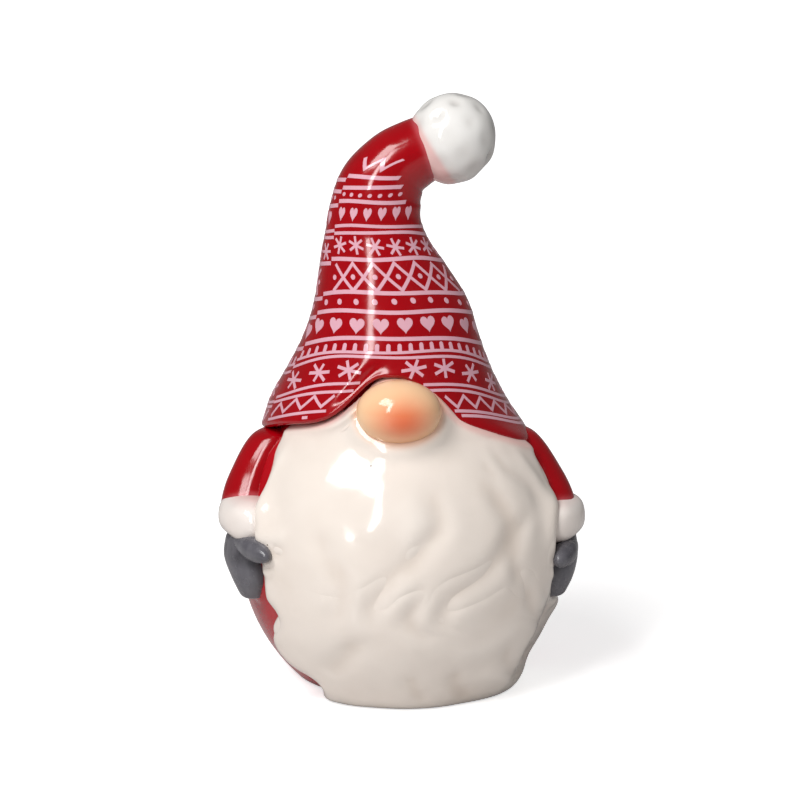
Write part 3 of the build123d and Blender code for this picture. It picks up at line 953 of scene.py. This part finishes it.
def print_sheet(is_front):
    """One transfer between the two seams."""
    bm = bmesh.new()

    def start_at(run):
        """The sheets leave the inside of the bend bare."""
        if is_front:
            return seam_at(run)
        return 100.0 if run < 143.2 else 150.0

    def end_at(run):
        if not is_front:
            return 359.2 + seam_at(run)
        bend_x = float(np.interp(run, (143, 146, 149, 158), (6.0, 3.0, 0.8, -0.6)))
        return 100.0 if run < 143.2 else azimuth_at(bend_x, run)

    def spot_height(azimuth, run):
        return row_height(azimuth, run) - (0.0 if is_front else BACK_DROP)

    def row(run, spacing, outline):
        for azimuth in evenly(start_at(run), end_at(run), run, spacing):
            spot = float(spot_height(azimuth, run))
            low = min(point[1] for point in outline)
            if spot + low > brim_height(azimuth) + BARE:
                chip(bm, outline, azimuth, spot)

    def line(run, width=1.15):
        first, last = start_at(run), end_at(run)
        azimuths = np.linspace(first, last, max(4, int((last - first) / 3)))
        heights = spot_height(azimuths, run)
        for part in stretches(azimuths, heights, BARE):
            band(bm, azimuths[part], heights[part], width)

    def star(run, radius, width, spacing, squash=1.0):
        reach = float(np.interp(run, travel, girth))
        for azimuth in evenly(start_at(run), end_at(run), run, spacing):
            spot = float(spot_height(azimuth, run))
            for k in range(3):
                angle = math.pi * k / 3 + 0.35 * math.sin(azimuth * 2.3) + math.pi / 2
                across = math.degrees(radius * math.cos(angle) / reach)
                rise = radius * math.sin(angle) * squash
                if spot - radius * squash > brim_height(azimuth) + 0.5:
                    band(bm, [azimuth - across, azimuth + across], [spot - rise, spot + rise],
                         width)

    def zigzag(run, height, pitch, width, first_up=False):
        reach = float(np.interp(run, travel, girth))
        step = math.degrees(pitch / 2 / reach)
        azimuths = np.arange(start_at(run) + 0.5 * step, end_at(run) - 0.25 * step, step)
        swing = np.where((np.arange(len(azimuths)) + first_up) % 2, height / 2, -height / 2)
        middles = spot_height(azimuths, run)
        for part in stretches(azimuths, middles - height / 2, BARE):
            band(bm, azimuths[part], (middles + swing)[part], width)

    if is_front:
        peaks = [azimuth_at(x, 159.0) for x in TOP_MARK_X]
        band(bm, peaks, [160.4, 157.4, 160.4, 157.4, 160.4], 0.8)
    line(155.2)
    line(152.2)
    row(150.1, 2.8, disc(0.6))
    line(148.0)
    row(144.4, 4.3, heart(2.5, 4.2))
    line(140.9, 0.95)
    line(139.0, 0.95)
    star(135.2, 2.6, 0.75, 6.0)
    line(131.6)
    zigzag(126.6, 7.6, 14.0, 0.95)
    zigzag(126.6, 7.6, 14.0, 0.95, True)
    row(126.6, 7.0, disc(0.75))
    line(122.2)
    row(119.8, 5.8, disc(0.85))
    line(117.0)
    row(113.0, 7.3, heart(4.9, 4.7))
    line(109.4)
    row(105.8, 3.4, tooth(1.3, 2.5))
    line(105.8, 0.8)
    line(104.4, 0.8)
    star(100.9, 3.9, 0.9, 9.8, 0.68)
    line(96.8, 0.8)
    line(94.9, 0.8)
    zigzag(92.0, 3.1, 6.9, 0.85)
    line(89.4, 0.8)
    line(87.9, 0.8)
    return bm


print_enamel = glaze("fired-on pink enamel print", "#E2B7C2", "#D9A6B3", "#C98FA0", gloss=0.08)
for name, is_front in (("hat_transfer_front", True), ("hat_transfer_back", False)):
    sheet = print_sheet(is_front)
    bmesh.ops.delete(sheet, geom=[v for v in sheet.verts if not v.link_faces], context="VERTS")
    bmesh.ops.recalc_face_normals(sheet, faces=sheet.faces)
    stain(sheet, "pool_and_shade", [0.3] * len(sheet.verts))
    bmesh.ops.solidify(sheet, geom=sheet.faces, thickness=2 * CHIP)
    finish_piece(sheet, name, name, print_enamel)

# %% [markdown]
# ## Floor, light and camera
# The figure stands on a white sheet that curves away out of sight.  One tall soft box stands in
# front and to the left: it draws the long bright streak down the hat and the soft patches on the
# beard.  A large white board further left lights the clay evenly, and a matt board at the right
# fills the shadows.  The sheet glows a little towards the back, where a lamp would light it.

# %% Stage
floor_mesh = bpy.data.meshes.new("floor")
floor_bm = bmesh.new()
bmesh.ops.create_grid(floor_bm, x_segments=1, y_segments=60, size=3.0)
sculpt(floor_bm, lambda p: p * (1, 1, 0) + np.clip(p[:, 1:2] - 1.2, 0, 9) ** 2 * (0, 0, 0.9))
for face in floor_bm.faces:
    face.smooth = True
floor_bm.to_mesh(floor_mesh)
floor_bm.free()
floor = bpy.data.objects.new("floor", floor_mesh)
bpy.context.collection.objects.link(floor)
paper = bpy.data.materials.new("white paper sweep")
paper.use_nodes = True
paper.node_tree.nodes.clear()
behind = add(paper.node_tree, "SeparateXYZ",
            Vector=add(paper.node_tree, "TexCoord").outputs["Object"]).outputs[1]
glow = add(paper.node_tree, "ValToRGB", stops=[(0.1, 0.62), (0.5, 1.0)], Fac=behind).outputs[0]
sheen = add(paper.node_tree, "BsdfPrincipled", Base_Color=paint("#F6F5F5"), Roughness=0.35,
            Emission_Color=glow, Emission_Strength=1.0)
plain = add(paper.node_tree, "BsdfPrincipled", Base_Color=paint("#DCDBDB"), Roughness=0.35)
seen = add(paper.node_tree, "LightPath").outputs["Is Camera Ray"]
either = add(paper.node_tree, "MixShader", _0=seen, _1=plain.outputs[0], _2=sheen.outputs[0])
add(paper.node_tree, "OutputMaterial", Surface=either.outputs[0])
floor_mesh.materials.append(paper)
print("floor sheet:", len(floor_mesh.polygons), "strips")

world = bpy.context.scene.world or bpy.data.worlds.new("studio")
bpy.context.scene.world = world
world.use_nodes = True
world.node_tree.nodes.clear()
surround = add(world.node_tree, "Background", Color=(1, 1, 1, 1), Strength=0.12)
add(world.node_tree, "OutputWorld", Surface=surround.outputs[0])


def softbox(name, azimuth, elevation, distance, width, height, power, target=(0, 0, 0.09)):
    """A rectangular lamp that looks at the figure."""
    lamp = bpy.data.lights.new(name, "AREA")
    lamp.shape = "RECTANGLE"
    lamp.size, lamp.size_y = width, height
    lamp.energy = power
    box = bpy.data.objects.new(name, lamp)
    bpy.context.collection.objects.link(box)
    turn, lift = math.radians(azimuth), math.radians(elevation)
    away = Vector((math.sin(turn) * math.cos(lift), -math.cos(turn) * math.cos(lift),
                   math.sin(lift)))
    box.location = Vector(target) + away * distance
    box.rotation_euler = away.to_track_quat("Z", "Y").to_euler()
    return box


softbox("tall softbox", -27, 34, 1.1, 0.17, 0.75, 6)
softbox("left board", -52, 52, 1.3, 0.5, 0.55, 9.5)
fill = softbox("right board", 50, 40, 1.5, 0.6, 0.6, 4.5)
fill.visible_glossy = False  # a matt board has no bright patch of its own in the glaze
print("lamps:", [lamp.name for lamp in bpy.data.lights])

# %% Camera
camera = bpy.data.cameras.new("camera")
camera.lens = 150
camera.sensor_width = 36
view = bpy.data.objects.new("camera", camera)
bpy.context.collection.objects.link(view)
LOOK_AT = Vector((0, AXIS_Y * MM, 0.0849))
CAMERA_AZIMUTH, CAMERA_ELEVATION, CAMERA_DISTANCE = -1.5, 14.0, 1.007
turn, lift = math.radians(CAMERA_AZIMUTH), math.radians(CAMERA_ELEVATION)
towards = Vector((math.sin(turn) * math.cos(lift), -math.cos(turn) * math.cos(lift),
                  math.sin(lift)))
view.location = LOOK_AT + towards * CAMERA_DISTANCE
view.rotation_euler = towards.to_track_quat("Z", "Y").to_euler()
bpy.context.scene.camera = view
bpy.context.scene.view_settings.view_transform = "Standard"
print("camera stands at", [round(value, 3) for value in view.location])
